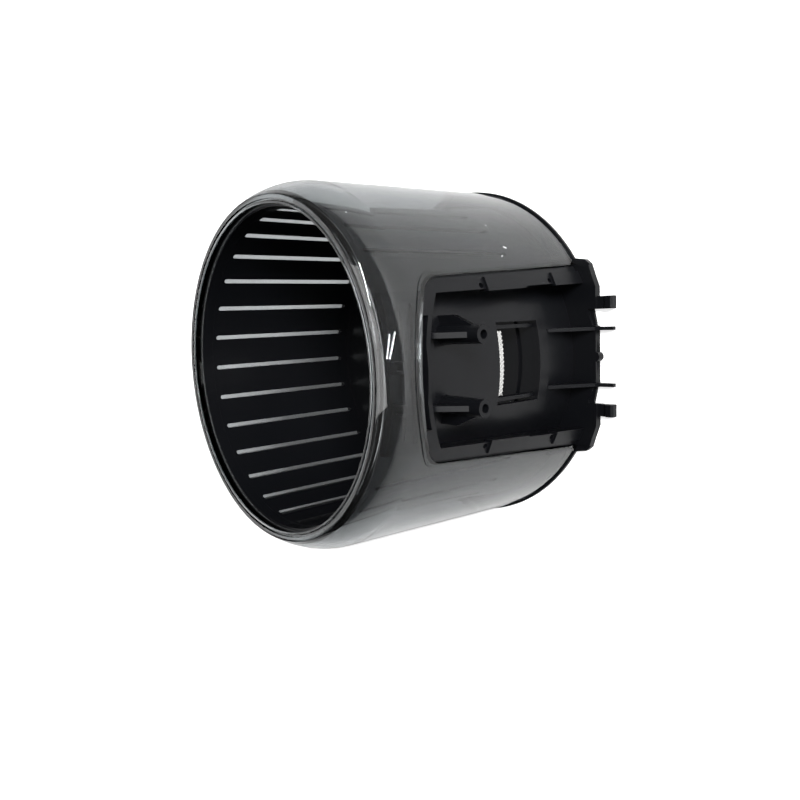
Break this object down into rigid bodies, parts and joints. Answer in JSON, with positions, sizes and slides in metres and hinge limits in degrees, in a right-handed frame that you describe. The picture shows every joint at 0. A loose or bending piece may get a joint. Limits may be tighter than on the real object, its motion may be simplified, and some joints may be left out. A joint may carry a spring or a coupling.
{
  "type": "vacuum motor cover",
  "caption": "Smoke-tinted tube with a rounded mouth over a black slotted housing, with an open handle tray, screw bosses and hooks on one side.",
  "frame": {"origin": "on the tube's axis, in the plane of the rear flange's outer face", "axes": "+Z along the tube's axis from the rear flange to the mouth; the handle tray faces -Y; +X to the right of the tray seen from the handle with the mouth up"},
  "size_m": [0.1188, 0.1244, 0.087],
  "materials": {
    "outer_shell": "glossy, smoke-tinted clear plastic",
    "inner_housing": "matt black, lightly grained",
    "woven_strip": "white woven band"
  },
  "bodies": {
    "root": {"outer_shell": "outer_shell", "inner_housing": "inner_housing", "woven_strip": "woven_strip"}
  },
  "joints": []
}
